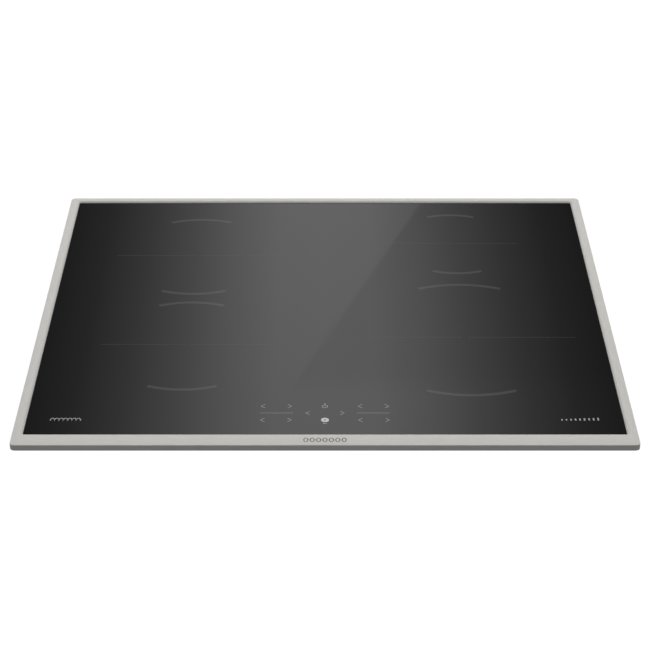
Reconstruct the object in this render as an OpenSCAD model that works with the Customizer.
// Built-in induction cooktop, 60 cm wide, in millimetres.
// Origin: centre of the worktop cut-out, on the worktop's surface. +X right, +Y back, +Z up.
// Everything above Z = 0 shows on the kitchen worktop, everything below hangs in the cut-out.

/* [Frame and glass] */
// Overall width of the metal frame
frame_w = 600; // [590:1:610]
// Overall depth of the metal frame
frame_d = 530; // [520:1:540]
// Width of the frame strip along the left and right sides
side_strip = 10; // [9:0.5:12]
// Width of the frame strip along the back
back_strip = 9; // [8:0.5:12]
// Width of the frame strip along the front
front_strip = 20.7; // [18:0.1:24]
// Height of the frame's top face above the worktop
frame_top = 6.8; // [6:0.1:8]
// Height of the glass surface above the worktop
glass_top = 5; // [4.5:0.1:5.5]
// Thickness of the ceramic glass
glass_t = 4; // [3:0.5:4]

/* [Bottom pan] */
// Width of the pan that hangs in the cut-out
pan_w = 536; // [530:1:544]
// Depth of the pan's underside and bottom below the worktop
pan_deep = 48; // [48:1:50]
// Thickness of the pan's sheet steel
sheet = 0.8; // [0.6:0.1:0.8]

/* [Cooking zones] */
// Diameter of each of the two left-hand zones
zone_left_d = 180; // [170:1:190]
// Diameter of the small zone at the back right
zone_small_d = 145; // [140:1:150]
// Diameter of the large zone at the front right
zone_large_d = 230; // [210:1:232]
// How far a coil carrier can be pushed down against its springs
float_travel = 2; // [1:0.5:2]

/* [Fan] */
// Outer diameter of the fan rotor
rotor_d = 100; // [90:1:104]
// Number of rotor blades
blades = 24; // [16:1:30]

/* [Terminal lid and clamps] */
// Width of the hinged lid over the mains terminals
lid_w = 111; // [100:1:111]
// How far a clamp nut travels up its screw
clamp_lift = 16; // [10:1:16]

/* [Hidden] */

// Finish of curves: full circles stay true circles at any value over 12
$fn = 64;
// Small overshoot that keeps a cut from ending exactly on a face
eps = 0.01;

// Frame and glass
corner_r = 5;
glass_r = 2;
bevel = 2;
frame_bottom = 0.6;
seal_gap = 0.5;
half_w = frame_w / 2;
half_d = frame_d / 2;
open_x = half_w - side_strip;
open_front = front_strip - half_d;
open_back = half_d - back_strip;
glass_under = glass_top - glass_t;
gasket_inset = 2.5;
gasket_w = 6;

// Pan: a straight wall at the front, then a slope down to the flat bottom
pan_x = pan_w / 2;
pan_front = -237;
pan_back = 237;
front_wall_z = -16;
slope_end_y = -188;
pan_floor = -pan_deep;
floor_in = pan_floor + sheet;
flange_top = 0.4;
flange_side = 7;
flange_front = 6.5;
louvre_step = 24;
louvre_reach = 228;
louvre_half = 9;
louvre_y = [-218, -205];
louvre_len = 4.5;
louvre_top = -20;
intake_r = 33;
intake_reach = 30;
intake_step = 6;
intake_half = 1.6;

// Coil stack, measured down from the glass
carrier_top = -9.5;
carrier_t = 1.5;
former_top = -4.5;
winding_top = -0.5;
mica_top = 0.9;
wire_pitch = 5;
hub_r = 14;
left_zones = [[-142.8, 123], [-142.8, -73.5]];
right_zones = [[146, 152.5], [146, -59]];
coil_margin = 2;
left_coil_r = zone_left_d / 2 - coil_margin;
small_coil_r = zone_small_d / 2 - coil_margin;
large_coil_r = zone_large_d / 2 - coil_margin;
ferrite_w = 14;
ferrite_h = 4;
carrier_inner = 8;
carrier_outer = 263;
carrier_front = -182;
carrier_back = 232;

// Posts that guide the carriers, and the springs round them
post_x = [20, 252];
post_y = [-172, 222];
post_r = 4.5;
post_shoulder = -24;
pin_r = 2;
pin_hole_r = 2.4;
spring_r = 3.6;
spring_wire_r = 0.5;
spring_turns = 4;
spring_steps = 10;
spring_sides = 5;
lead_r = 1.6;
lead_in = 30;
lead_half_gap = 4;

// Power electronics on two boards either side of the air duct
board_t = 1.6;
board_z = -42;
board_top = board_z + board_t;
board_in = 3;
board_out = 236;
board_front = -150;
board_back = 62;
spacer_r = 4;
spacer_spots = [[232, -146], [232, 58], [100, 58], [100, -146]];
screw_r = 1.5;
screw_head_r = 3;
sink_in = 5;
sink_out = 40;
sink_front = -140;
sink_back = 60;
sink_top = -16;
sink_wall = 4;
fin_t = 1.4;
fin_count = 6;
igbt_y = [-115, -60, -5, 40];
igbt = [5, 16, 21];
igbt_lift = 2.4;
leg_step = 5;
leg_w = 1.2;
leg_t = 0.6;
leg_out = 2;
igbt_screw_z = board_top + igbt_lift + igbt[2] - 5;

// Parts on the power boards
film_cap = [34, 16, 22];
film_cap_x = 62;
film_cap_y = [-125, -95, -30, 10];
bus_cap_r = 12;
bus_cap_h = 23;
bus_cap_x = 212;
bus_cap_y = [-120, 35];
choke_r = 14;
choke_w = 9;
choke_h = 16;
choke_x = 185;
choke_y = [-70, -20];

// Interference filter on its own board behind the right-hand power board
filter_low = [84, 96];
filter_high = [236, 214];
filter_foot_in = 8;
filter_choke = [120, 140];
filter_choke_w = 10;
filter_choke_h = 18;
filter_cap = [30, 22, 20];
filter_cap_x = [150, 190];
filter_cap_y = 110;
fuse_low = [150, 180];
fuse = [22, 6, 8];

// Fan at the back, blowing forward between the boards
fan_y = 150;
fan_case_r = 60;
fan_case_top = -17;
fan_wall = 2;
fan_inlet_r = 36;
duct_x = 36;
duct_front = 84;
rotor_r = rotor_d / 2;
rotor_low = -42;
rotor_high = -22;
rotor_plate = 2;
rotor_ring_w = 12;
cup_r = 18.5;
cup_in_r = 16.5;
cup_low = -40;
cup_floor = 2.5;
blade_mid_r = rotor_r - 7;
blade_len = 11;
blade_t = 1.2;
blade_tilt = 35;
motor_r = 15;
motor_low = -36;
shaft_r = 2;
shaft_top = -22.5;
shaft_gap = 0.05;

// Mains terminals in the back wall
box_left = -226;
box_right = -76;
box_front = 176;
box_low = -46;
box_top = carrier_top - carrier_t - float_travel - 1;
box_wall = 2;
port_left = -220;
port_right = -114;
port_low = -43;
port_high = box_top - box_wall - 0.5;
port_rim = 6;
rim_low = port_low - 3;
rim_high = -8;
ear_low = -14;
ear_w = 3;
hinge_y = pan_back + 4.8;
hinge_z = -11;
hinge_r = 1.5;
barrel_r = 2.3;
bezel_y = pan_back;
bezel_t = 2;
lid_mid = (port_left + port_right) / 2;
lid_low = -45.5;
lid_rim_top = -18;
lid_t = 2.5;
lid_rim = 1.5;
lid_gap = 0.3;
gland_x = -92;
gland_z = -29;
gland_r = 7;
gland_body_r = 10;
gland_flange_r = 13;

// Terminal strip: five cage clamps in a row, each with a square wire entry and a screw
strip_front = 182;
strip_back = 206;
strip_top = -26;
strip_inset = 6;
wires = 5;
wire_x = port_left + 17;
wire_step = 18;
wire_z = -35;
wire_half = 3;
wire_deep = 17;
wire_screw_y = 194;
wire_screw_r = 2;

// Touch controls behind the front edge
touch_x = 90;
touch_front = -232;
touch_back = -187;
touch_z = -9;
touch_rim = 2;
bracket_x = 60;
bracket_half = 8;
pad_r = 4;
key_rows = [-192.8, -217.8];
power_row = -205.3;
key_x = [34.6, 60.7];
power_keys = 16.8;
display_x = 47.7;
display_half = [6, 5.5];
display_top = 0.5;
lock_light_r = 5;

// Clamps that grip the worktop from below, one on each side wall
clamp_y = 0;
clamp_x = pan_x + 5;
clamp_screw_r = 2;
clamp_low = -44;
clamp_plate = 2;
ear_half = 6;
ear_reach = clamp_x + 5;
clamp_head_r = 4;
clamp_head_h = 2.9;
collar_r = 3.2;
nut_low = -39;
nut_h = 5;
nut_w = 8;
arm_t = 1.5;
arm_len = 26;
arm_half = 4.4;
arm_lip = 4;
arm_gap = 0.1;
neck_r = 3.2;
neck_cap_r = 4;
clamp_high = nut_low + nut_h + arm_lip + clamp_lift + clamp_plate + 6;

// ---------------------------------------------------------------- shared shapes

// Flat rounded rectangle from corner (x0, y0) to corner (x1, y1)
module rounded(x0, y0, x1, y1, r) {
    translate([x0 + r, y0]) square([x1 - x0 - 2 * r, y1 - y0]);
    translate([x0, y0 + r]) square([x1 - x0, y1 - y0 - 2 * r]);
    for (x = [x0 + r, x1 - r], y = [y0 + r, y1 - r])
        translate([x, y]) circle(r = r);
}

// Plate or block of a flat outline between two heights
module slab(z0, z1) {
    translate([0, 0, z0]) linear_extrude(z1 - z0) children();
}

// Box from its lowest corner to its highest
module block(low, high) {
    translate(low) cube(high - low);
}

// Round rod between two heights at a place in plan
module rod(at, r, z0, z1) {
    translate([at[0], at[1], z0]) cylinder(r = r, h = z1 - z0);
}

// Round rod along X between two positions
module rod_x(x0, x1, y, z, r) {
    translate([x0, y, z]) rotate([0, 90, 0]) cylinder(r = r, h = x1 - x0);
}

// Round rod along Y between two positions
module rod_y(x, y0, y1, z, r) {
    translate([x, y0, z]) rotate([-90, 0, 0]) cylinder(r = r, h = y1 - y0);
}

// Draws its children on one side: -1 left, 1 right
module on_side(side) {
    mirror([side < 0 ? 1 : 0, 0, 0]) children();
}

// ---------------------------------------------------------------- visible top

// Space above the glass: the frame's opening, widening upwards by the bevel
module frame_opening() {
    slab(frame_bottom - 1, frame_top + 1)
        rounded(-open_x, open_front, open_x, open_back, glass_r);
    intersection() {
        translate([0, -half_d, 0]) rotate([90, 0, 180])
            linear_extrude(frame_d)
            polygon([[-open_x, glass_top], [open_x, glass_top],
                [open_x + bevel, frame_top], [open_x + bevel, frame_top + 1],
                [-open_x - bevel, frame_top + 1], [-open_x - bevel, frame_top]]);
        translate([-half_w, 0, 0]) rotate([90, 0, 90])
            linear_extrude(frame_w)
            polygon([[open_front, glass_top], [open_back, glass_top],
                [open_back + bevel, frame_top], [open_back + bevel, frame_top + 1],
                [open_front - bevel, frame_top + 1], [open_front - bevel, frame_top]]);
    }
}

module trim_frame() {
    color("silver") difference() {
        slab(frame_bottom, frame_top)
            rounded(-half_w, -half_d, half_w, half_d, corner_r);
        frame_opening();
    }
}

module glass_panel() {
    color([0.06, 0.06, 0.06]) slab(glass_under, glass_top)
        rounded(-open_x + seal_gap, open_front + seal_gap,
            open_x - seal_gap, open_back - seal_gap, glass_r - seal_gap);
}

// Thin silicone line between the glass edge and the frame
module edge_seal() {
    color([0.1, 0.1, 0.1]) slab(glass_under, glass_top - 0.2) difference() {
        rounded(-open_x, open_front, open_x, open_back, glass_r);
        rounded(-open_x + seal_gap, open_front + seal_gap,
            open_x - seal_gap, open_back - seal_gap, glass_r - seal_gap);
    }
}

// Silicone that bonds the glass to the pan's flange
module glass_bond() {
    color([0.2, 0.2, 0.2]) slab(flange_top, glass_under) difference() {
        rounded(-pan_x - flange_side, pan_front - flange_front,
            pan_x + flange_side, pan_back + flange_side, glass_r);
        rounded(-pan_x, pan_front, pan_x, pan_back, glass_r);
    }
}

// Foam sealing strip under the frame, which rests on the worktop
module worktop_gasket() {
    color([0.15, 0.15, 0.15]) slab(0, frame_bottom) difference() {
        rounded(-half_w + gasket_inset, -half_d + gasket_inset,
            half_w - gasket_inset, half_d - gasket_inset, corner_r);
        rounded(-half_w + gasket_inset + gasket_w, -half_d + gasket_inset + gasket_w,
            half_w - gasket_inset - gasket_w, half_d - gasket_inset - gasket_w, corner_r);
    }
}

// ---------------------------------------------------------------- bottom pan

// Side profile of the pan, shrunk by a wall thickness t, running up to height top
module pan_profile(t, top) {
    run = slope_end_y - pan_front;
    drop = front_wall_z - pan_floor;
    slant = t * (sqrt(run * run + drop * drop) - drop) / run;
    foot = t * (sqrt(run * run + drop * drop) - run) / drop;
    polygon([[pan_front + t, top], [pan_front + t, front_wall_z + slant],
        [slope_end_y + foot, pan_floor + t], [pan_back - t, pan_floor + t], [pan_back - t, top]]);
}

module pan_body(t, top) {
    translate([-pan_x + t, 0, 0]) rotate([90, 0, 90])
        linear_extrude(pan_w - 2 * t) pan_profile(t, top);
}

// Louvres on the front slope let the cooling air out
module pan_louvres() {
    for (x = [-louvre_reach:louvre_step:louvre_reach], y = louvre_y)
        block([x - louvre_half, y, pan_floor - 2], [x + louvre_half, y + louvre_len, louvre_top]);
}

// Ring-shaped slots under the fan let the cooling air in
module pan_intake() {
    intersection() {
        rod([0, fan_y], intake_r, pan_floor - 1, floor_in + 1);
        for (y = [fan_y - intake_reach:intake_step:fan_y + intake_reach])
            block([-intake_r - 1, y - intake_half, pan_floor - 2],
                [intake_r + 1, y + intake_half, floor_in + 2]);
    }
}

module bottom_pan() {
    color("lightgrey") difference() {
        union() {
            pan_body(0, flange_top);
            slab(flange_top - sheet, flange_top)
                rounded(-pan_x - flange_side, pan_front - flange_front,
                    pan_x + flange_side, pan_back + flange_side, glass_r);
        }
        pan_body(sheet, flange_top + 1);
        pan_louvres();
        pan_intake();
        block([port_left, pan_back - 2, port_low], [port_right, pan_back + 1, port_high]);
        rod_y(gland_x, pan_back - 2, pan_back + 1, gland_z, gland_body_r);
    }
}

// Riveted posts: a shoulder carries the spring, a thin pin guides the carrier
module carrier_posts() {
    color("gainsboro") for (side = [-1, 1], x = post_x, y = post_y) {
        rod([side * x, y], post_r, floor_in, post_shoulder);
        rod([side * x, y], pin_r, post_shoulder - eps, carrier_top + 3);
    }
}

// ---------------------------------------------------------------- coils

module carrier(side, zones, hole_r) {
    color("lightsteelblue") on_side(side) slab(carrier_top - carrier_t, carrier_top) difference() {
        rounded(carrier_inner, carrier_front, carrier_outer, carrier_back, 6);
        for (x = post_x, y = post_y)
            translate([x, y]) circle(r = pin_hole_r);
        for (i = [0:1])
            translate([abs(zones[i][0]), zones[i][1]]) circle(r = hole_r);
    }
}

module coil_carrier_left() { carrier(-1, left_zones, hub_r - 4); }
module coil_carrier_right() { carrier(1, right_zones, hub_r - 4); }

// Flat spiral of litz wire, drawn as closed turns side by side on a thin base
module winding(zone, coil_r) {
    turns = floor((coil_r - hub_r - 4) / wire_pitch);
    start = coil_r - turns * wire_pitch;
    color("peru") translate([zone[0], zone[1], 0]) rotate_extrude() {
        translate([start, former_top]) square([turns * wire_pitch - 1, 0.6]);
        for (i = [0:turns - 1])
            translate([start + i * wire_pitch, former_top])
                square([wire_pitch - 1, winding_top - former_top]);
    }
}

module winding_rear_left() { winding(left_zones[0], left_coil_r); }
module winding_front_left() { winding(left_zones[1], left_coil_r); }
module winding_rear_right() { winding(right_zones[0], small_coil_r); }
module winding_front_right() { winding(right_zones[1], large_coil_r); }

// Eight radial bars of ferrite in plan
module ferrite_bars(zone, coil_r, gap) {
    translate(zone) for (a = [0:45:315])
        rotate(a) translate([hub_r + 9, -ferrite_w / 2 - gap])
            square([coil_r - hub_r - 16, ferrite_w + 2 * gap]);
}

// Moulded disc that holds the winding on top and the ferrites underneath
module former(zone, coil_r) {
    color("ivory") difference() {
        slab(carrier_top, former_top) translate(zone) difference() {
            circle(r = coil_r + 1);
            circle(r = hub_r - 4);
        }
        slab(carrier_top - 1, carrier_top + ferrite_h) ferrite_bars(zone, coil_r, 0.2);
    }
}

module former_rear_left() { former(left_zones[0], left_coil_r); }
module former_front_left() { former(left_zones[1], left_coil_r); }
module former_rear_right() { former(right_zones[0], small_coil_r); }
module former_front_right() { former(right_zones[1], large_coil_r); }

module ferrites_left() {
    color("dimgray") slab(carrier_top, carrier_top + ferrite_h) {
        ferrite_bars(left_zones[0], left_coil_r, 0);
        ferrite_bars(left_zones[1], left_coil_r, 0);
    }
}

module ferrites_right() {
    color("dimgray") slab(carrier_top, carrier_top + ferrite_h) {
        ferrite_bars(right_zones[0], small_coil_r, 0);
        ferrite_bars(right_zones[1], large_coil_r, 0);
    }
}

// Insulating disc between a winding and the glass
module mica_disc(zone, coil_r) {
    slab(winding_top, mica_top) translate(zone) difference() {
        circle(r = coil_r);
        circle(r = hub_r - 4);
    }
}

module mica_left() {
    color("beige") {
        mica_disc(left_zones[0], left_coil_r);
        mica_disc(left_zones[1], left_coil_r);
    }
}

module mica_right() {
    color("beige") {
        mica_disc(right_zones[0], small_coil_r);
        mica_disc(right_zones[1], large_coil_r);
    }
}

// Temperature sensor in the middle of each coil, on a flange that rests on the carrier
module sensor(zone) {
    rod(zone, hub_r - 4, carrier_top - carrier_t, former_top);
    rod(zone, 4, former_top - eps, mica_top);
}

module sensors_left() {
    color("white") for (zone = left_zones) sensor(zone);
}

module sensors_right() {
    color("white") for (zone = right_zones) sensor(zone);
}

// Point on the spring's centre line after a number of steps
function spring_point(i, height) = let (a = 360 * i / spring_steps, last = spring_turns * spring_steps)
    [spring_r * cos(a), spring_r * sin(a),
        post_shoulder + spring_wire_r + (height - 2 * spring_wire_r) * i / last];

// Corner of the wire's cross-section at a step
function wire_corner(i, j, height) = let (a = 360 * i / spring_steps, b = 360 * j / spring_sides,
        p = spring_point(i, height))
    p + spring_wire_r * [cos(a) * cos(b), sin(a) * cos(b), sin(b)];

module coil_spring(height) {
    rings = spring_turns * spring_steps;
    points = [for (i = [0:rings], j = [0:spring_sides - 1]) wire_corner(i, j, height)];
    sides = [for (i = [0:rings - 1], j = [0:spring_sides - 1]) let (k = (j + 1) % spring_sides)
        [i * spring_sides + j, (i + 1) * spring_sides + j,
            (i + 1) * spring_sides + k, i * spring_sides + k]];
    ends = [[for (j = [0:spring_sides - 1]) j],
        [for (j = [0:spring_sides - 1]) rings * spring_sides + spring_sides - 1 - j]];
    polyhedron(points = points, faces = concat(sides, ends));
}

module carrier_springs(side) {
    color("silver") on_side(side) for (x = post_x, y = post_y)
        translate([x, y, 0]) coil_spring(carrier_top - carrier_t - post_shoulder);
}

module carrier_springs_left() { carrier_springs(-1); }
module carrier_springs_right() { carrier_springs(1); }

// Two leads from each coil drop straight to the power board below it
module coil_leads(side, zones) {
    color("saddlebrown") for (zone = zones, dx = [-lead_half_gap, lead_half_gap])
        rod([side * (abs(zone[0]) - lead_in + dx), min(zone[1], board_back - 12)], lead_r,
            board_top, carrier_top - carrier_t);
}

module coil_leads_left() { coil_leads(-1, left_zones); }
module coil_leads_right() { coil_leads(1, right_zones); }

// ---------------------------------------------------------------- power electronics

module power_board(side) {
    color("darkgreen") on_side(side) slab(board_z, board_top) difference() {
        translate([board_in, board_front]) square([board_out - board_in, board_back - board_front]);
        for (spot = spacer_spots) translate(spot) circle(r = screw_r + 0.1);
    }
}

module power_board_left() { power_board(-1); }
module power_board_right() { power_board(1); }

// Extruded heat sink: a wall for the transistors and fins that reach towards the air duct
module heatsink(side) {
    fin_step = (sink_top - board_top - fin_t) / (fin_count - 1);
    color("silver") on_side(side) difference() {
        translate([0, sink_back, 0]) rotate([90, 0, 0]) linear_extrude(sink_back - sink_front) {
            translate([sink_out - sink_wall, board_top]) square([sink_wall, sink_top - board_top]);
            for (i = [0:fin_count - 1])
                translate([sink_in, board_top + i * fin_step])
                    square([sink_out - sink_in - sink_wall / 2, fin_t]);
        }
        for (y = igbt_y) rod_x(sink_out - sink_wall, sink_out + 1, y, igbt_screw_z, screw_r + 0.1);
    }
}

module heatsink_left() { heatsink(-1); }
module heatsink_right() { heatsink(1); }

// Power transistors on the heat sinks, each with three legs down to the board
module transistors() {
    color([0.12, 0.12, 0.12]) for (side = [-1, 1]) on_side(side) for (y = igbt_y) difference() {
        union() {
            block([sink_out, y - igbt[1] / 2, board_top + igbt_lift],
                [sink_out + igbt[0], y + igbt[1] / 2, board_top + igbt_lift + igbt[2]]);
            for (dy = [-leg_step, 0, leg_step])
                translate([sink_out + leg_out, y + dy - leg_w / 2, board_top])
                    cube([leg_t, leg_w, igbt_lift + eps]);
        }
        rod_x(sink_out - 1, sink_out + igbt[0] + 1, y, igbt_screw_z, screw_r + 0.1);
    }
}

module board_spacers() {
    color("white") for (side = [-1, 1]) on_side(side) for (spot = spacer_spots) difference() {
        rod(spot, spacer_r, floor_in, board_z);
        rod(spot, screw_r, floor_in + 1, board_z + 1);
    }
}

// Screws that hold the boards on their spacers and the transistors on the heat sinks
module board_screws() {
    color("darkgray") for (side = [-1, 1]) on_side(side) {
        for (spot = spacer_spots) {
            rod(spot, screw_r, floor_in + 1, board_top + eps);
            rod(spot, screw_head_r, board_top, board_top + 2);
        }
        for (y = igbt_y) {
            rod_x(sink_out - sink_wall, sink_out + igbt[0] + eps, y, igbt_screw_z, screw_r);
            rod_x(sink_out + igbt[0], sink_out + igbt[0] + 2, y, igbt_screw_z, screw_head_r);
        }
    }
}

module film_capacitors() {
    color("gold") for (side = [-1, 1]) on_side(side) for (y = film_cap_y)
        translate([film_cap_x, y - film_cap[1] / 2, board_top]) cube(film_cap);
}

module bus_capacitors() {
    color("navy") for (side = [-1, 1]) on_side(side) for (y = bus_cap_y)
        rod([bus_cap_x, y], bus_cap_r, board_top, board_top + bus_cap_h);
}

// Ring lying flat on a board: a mid radius, and the width and height of its section
module ring(at, r, w, h) {
    translate([at[0], at[1], board_top]) rotate_extrude()
        translate([r - w / 2, 0]) square([w, h]);
}

// Wound ring chokes lying flat on the boards
module board_chokes() {
    color("peru") for (side = [-1, 1]) on_side(side) for (y = choke_y)
        ring([choke_x, y], choke_r, choke_w, choke_h);
}

// ---------------------------------------------------------------- fan

// Outline of the fan case in plan, shrunk by t: a round chamber and a duct to the front
module fan_outline(t) {
    translate([0, fan_y]) circle(r = fan_case_r - t);
    translate([-duct_x + t, duct_front - (t > 0 ? 1 : 0)])
        square([2 * (duct_x - t), fan_y - duct_front - 20]);
}

module fan_housing() {
    color([0.25, 0.25, 0.25]) difference() {
        slab(floor_in, fan_case_top) fan_outline(0);
        slab(floor_in + fan_wall, fan_case_top - fan_wall) fan_outline(fan_wall);
        rod([0, fan_y], fan_inlet_r, floor_in - 1, floor_in + fan_wall + 1);
    }
}

// Motor body hangs from the case top inside the rotor's cup
module fan_motor() {
    color("dimgray") difference() {
        rod([0, fan_y], motor_r, motor_low, fan_case_top - fan_wall);
        rod([0, fan_y], shaft_r + shaft_gap, motor_low - 1, shaft_top + 0.5);
    }
}

module fan_shaft() {
    color("silver") rod([0, fan_y], shaft_r, cup_low, shaft_top);
}

// Rotor: a cup round the motor, a top plate, a lower ring and slanting blades between them
module fan_rotor() {
    color([0.15, 0.15, 0.15]) translate([0, fan_y, 0]) {
        rotate_extrude() {
            translate([shaft_r, cup_low]) square([cup_r - shaft_r, cup_floor]);
            translate([cup_in_r, cup_low]) square([cup_r - cup_in_r, rotor_high - cup_low]);
            translate([cup_in_r, rotor_high - rotor_plate]) square([rotor_r - cup_in_r, rotor_plate]);
            translate([rotor_r - rotor_ring_w, rotor_low]) square([rotor_ring_w, rotor_plate]);
        }
        for (i = [0:blades - 1])
            rotate(360 * i / blades) translate([blade_mid_r, 0, rotor_low + rotor_plate / 2])
                rotate(blade_tilt) translate([-blade_len / 2, -blade_t / 2, 0])
                    cube([blade_len, blade_t, rotor_high - rotor_low - rotor_plate]);
    }
}

// ---------------------------------------------------------------- mains side

module filter_board() {
    color("darkgreen") block([filter_low[0], filter_low[1], board_z],
        [filter_high[0], filter_high[1], board_top]);
}

// Interference filter: choke, two capacitors, fuse and the feet under the board
module filter_parts() {
    color("goldenrod") {
        ring(filter_choke, choke_r, filter_choke_w, filter_choke_h);
        for (x = filter_cap_x) translate([x, filter_cap_y, board_top]) cube(filter_cap);
        translate([fuse_low[0], fuse_low[1], board_top]) cube(fuse);
        for (x = [filter_low[0] + filter_foot_in, filter_high[0] - filter_foot_in],
                y = [filter_low[1] + filter_foot_in, filter_high[1] - filter_foot_in])
            rod([x, y], spacer_r, floor_in, board_z);
    }
}

// Plastic chamber for the mains wires, open to the back wall
module terminal_box() {
    color([0.2, 0.2, 0.2]) difference() {
        block([box_left, box_front, box_low], [box_right, pan_back - sheet, box_top]);
        block([box_left + box_wall, box_front + box_wall, box_low + box_wall],
            [box_right - box_wall, pan_back, box_top - box_wall]);
    }
}

// Frame round the opening in the back wall, with an ear for each hinge pin
module terminal_bezel() {
    color([0.2, 0.2, 0.2]) difference() {
        union() {
            block([port_left - port_rim, bezel_y, rim_low],
                [port_right + port_rim, bezel_y + bezel_t, rim_high]);
            for (x = [port_left - port_rim, port_right + port_rim - ear_w])
                block([x, bezel_y, ear_low], [x + ear_w, hinge_y + ear_w, rim_high]);
        }
        block([port_left, bezel_y - 1, port_low], [port_right, bezel_y + bezel_t + 1, port_high]);
        rod_x(port_left - port_rim - 1, port_right + port_rim + 1, hinge_y, hinge_z, hinge_r + shaft_gap);
    }
}

// Hinged lid: a shallow tray with a barrel and two pin stubs along its top edge
module terminal_lid() {
    x0 = lid_mid - lid_w / 2;
    x1 = lid_mid + lid_w / 2;
    face = hinge_y - 0.6;
    color([0.16, 0.16, 0.16]) {
        block([x0, face, lid_low], [x1, face + lid_t, hinge_z]);
        difference() {
            block([x0, bezel_y + bezel_t + lid_gap, lid_low], [x1, face + eps, lid_rim_top]);
            block([x0 + lid_rim, bezel_y, lid_low + lid_rim],
                [x1 - lid_rim, face + 2 * eps, lid_rim_top + 1]);
        }
        rod_x(x0, x1, hinge_y, hinge_z, barrel_r);
        rod_x(x0 - ear_w, x1 + ear_w, hinge_y, hinge_z, hinge_r);
    }
}

// Terminal strip inside the box, open towards the back for the wires
module terminal_block() {
    color("ivory") difference() {
        block([port_left + strip_inset, strip_front, box_low + box_wall],
            [port_right - strip_inset, strip_back, strip_top]);
        for (x = [wire_x:wire_step:wire_x + (wires - 1) * wire_step]) {
            block([x - wire_half, strip_back - wire_deep, wire_z - wire_half],
                [x + wire_half, strip_back + 1, wire_z + wire_half]);
            rod([x, wire_screw_y], wire_screw_r + 0.2, wire_z, strip_top + 1);
        }
    }
}

module terminal_screws() {
    color("goldenrod") for (x = [wire_x:wire_step:wire_x + (wires - 1) * wire_step])
        rod([x, wire_screw_y], wire_screw_r, wire_z + wire_half - 1, strip_top - 1);
}

// Bushing where the mains cable enters, with a flange outside and a collar inside
module cable_gland() {
    color([0.1, 0.1, 0.1]) difference() {
        union() {
            rod_y(gland_x, pan_back - sheet - 3, pan_back + 6, gland_z, gland_body_r);
            rod_y(gland_x, pan_back, pan_back + 3, gland_z, gland_flange_r);
        }
        rod_y(gland_x, pan_back - sheet - 4, pan_back + 7, gland_z, gland_r);
    }
}

// ---------------------------------------------------------------- touch controls

module touch_board() {
    color("darkgreen") slab(touch_z, touch_z + board_t)
        translate([-touch_x, touch_front]) square([2 * touch_x, touch_back - touch_front]);
}

// Plastic tray under the touch board, on two brackets against the front wall
module touch_tray() {
    color([0.2, 0.2, 0.2]) {
        block([-touch_x - touch_rim, touch_front - touch_rim, touch_z - touch_rim],
            [touch_x + touch_rim, touch_back + touch_rim, touch_z]);
        for (x = [-bracket_x, bracket_x])
            block([x - bracket_half, pan_front + sheet, touch_z - 2 * touch_rim],
                [x + bracket_half, touch_front + 10, touch_z - touch_rim + eps]);
    }
}

// Conductive foam pads that press against the glass under each touch key
module touch_pads() {
    color("dimgray") {
        for (x = key_x, y = key_rows, side = [-1, 1])
            rod([side * x, y], pad_r, touch_z + board_t, glass_under);
        for (spot = [[0, key_rows[0]], [-power_keys, power_row], [power_keys, power_row]])
            rod(spot, pad_r, touch_z + board_t, glass_under);
    }
}

// Digit displays of the four zones and the ring light of the lock key
module displays() {
    color("darkred") {
        for (side = [-1, 1], y = key_rows)
            block([side * display_x - display_half[0], y - display_half[1], touch_z + board_t],
                [side * display_x + display_half[0], y + display_half[1], display_top]);
        rod([0, key_rows[1]], lock_light_r, touch_z + board_t, display_top);
    }
}

// ---------------------------------------------------------------- clamps

// Two ears on each side wall carry the clamp screw
module clamp_brackets() {
    color("lightgrey") for (side = [-1, 1]) on_side(side) difference() {
        for (z = [clamp_low, clamp_high - clamp_plate])
            block([pan_x, clamp_y - ear_half, z], [ear_reach, clamp_y + ear_half, z + clamp_plate]);
        rod([clamp_x, clamp_y], clamp_screw_r + shaft_gap, clamp_low - 1, clamp_high + 1);
    }
}

// Screw with a slotted head below the lower ear and a collar above it
module clamp_screw(side) {
    color("silver") on_side(side) difference() {
        union() {
            rod([clamp_x, clamp_y], clamp_screw_r, clamp_low - 2, clamp_high - 0.5);
            rod([clamp_x, clamp_y], clamp_head_r, clamp_low - 0.1 - clamp_head_h, clamp_low - 0.1);
            rod([clamp_x, clamp_y], collar_r, clamp_low + clamp_plate + 0.1, clamp_low + clamp_plate + 1.5);
        }
        block([clamp_x - clamp_head_r - 1, clamp_y - 0.5, clamp_low - clamp_head_h - 1],
            [clamp_x + clamp_head_r + 1, clamp_y + 0.5, clamp_low - 1.8]);
    }
}

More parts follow.
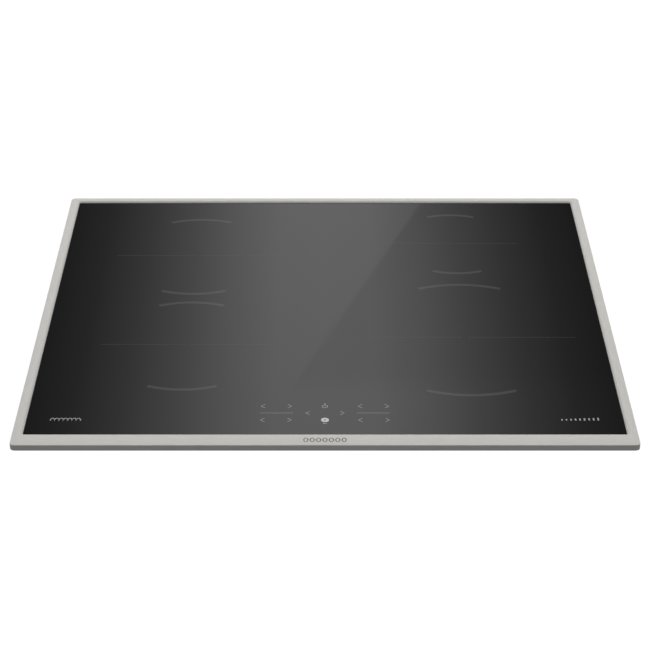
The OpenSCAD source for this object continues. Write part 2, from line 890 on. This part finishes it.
// Nut that climbs the screw; its round neck carries the arm
module clamp_nut(side) {
    color("goldenrod") on_side(side) difference() {
        union() {
            block([clamp_x - nut_w / 2, clamp_y - nut_w / 2, nut_low],
                [clamp_x + nut_w / 2, clamp_y + nut_w / 2, nut_low + nut_h]);
            rod([clamp_x, clamp_y], neck_r, nut_low + nut_h - eps, nut_low + nut_h + arm_t + 0.4);
            rod([clamp_x, clamp_y], neck_cap_r, nut_low + nut_h + arm_t + 0.2,
                nut_low + nut_h + arm_t + 1.2);
        }
        rod([clamp_x, clamp_y], clamp_screw_r + shaft_gap, nut_low - 1, nut_low + nut_h + 5);
    }
}

// Arm that lies along the wall at rest and swings out under the worktop
module clamp_arm(side) {
    z = nut_low + nut_h + arm_gap;
    color("silver") on_side(side) difference() {
        union() {
            rod([clamp_x, clamp_y], arm_half, z, z + arm_t);
            block([clamp_x - arm_half, clamp_y, z], [clamp_x + arm_half, clamp_y + arm_len, z + arm_t]);
            block([clamp_x - arm_half, clamp_y + arm_len - arm_t, z],
                [clamp_x + arm_half, clamp_y + arm_len, z + arm_lip]);
        }
        rod([clamp_x, clamp_y], neck_r + shaft_gap, z - 1, z + arm_t + 1);
    }
}

module clamp_screw_left() { clamp_screw(-1); }
module clamp_screw_right() { clamp_screw(1); }
module clamp_nut_left() { clamp_nut(-1); }
module clamp_nut_right() { clamp_nut(1); }
module clamp_arm_left() { clamp_arm(-1); }
module clamp_arm_right() { clamp_arm(1); }

// ---------------------------------------------------------------- every sub-part
trim_frame();
glass_panel();
edge_seal();
glass_bond();
worktop_gasket();
bottom_pan();
carrier_posts();
coil_carrier_left();
coil_carrier_right();
carrier_springs_left();
carrier_springs_right();
winding_rear_left();
winding_front_left();
winding_rear_right();
winding_front_right();
former_rear_left();
former_front_left();
former_rear_right();
former_front_right();
ferrites_left();
ferrites_right();
mica_left();
mica_right();
sensors_left();
sensors_right();
coil_leads_left();
coil_leads_right();
power_board_left();
power_board_right();
heatsink_left();
heatsink_right();
transistors();
board_spacers();
board_screws();
film_capacitors();
bus_capacitors();
board_chokes();
fan_housing();
fan_motor();
fan_rotor();
fan_shaft();
filter_board();
filter_parts();
terminal_box();
terminal_bezel();
terminal_block();
terminal_screws();
terminal_lid();
cable_gland();
touch_board();
touch_tray();
touch_pads();
displays();
clamp_brackets();
clamp_screw_left();
clamp_screw_right();
clamp_nut_left();
clamp_nut_right();
clamp_arm_left();
clamp_arm_right();
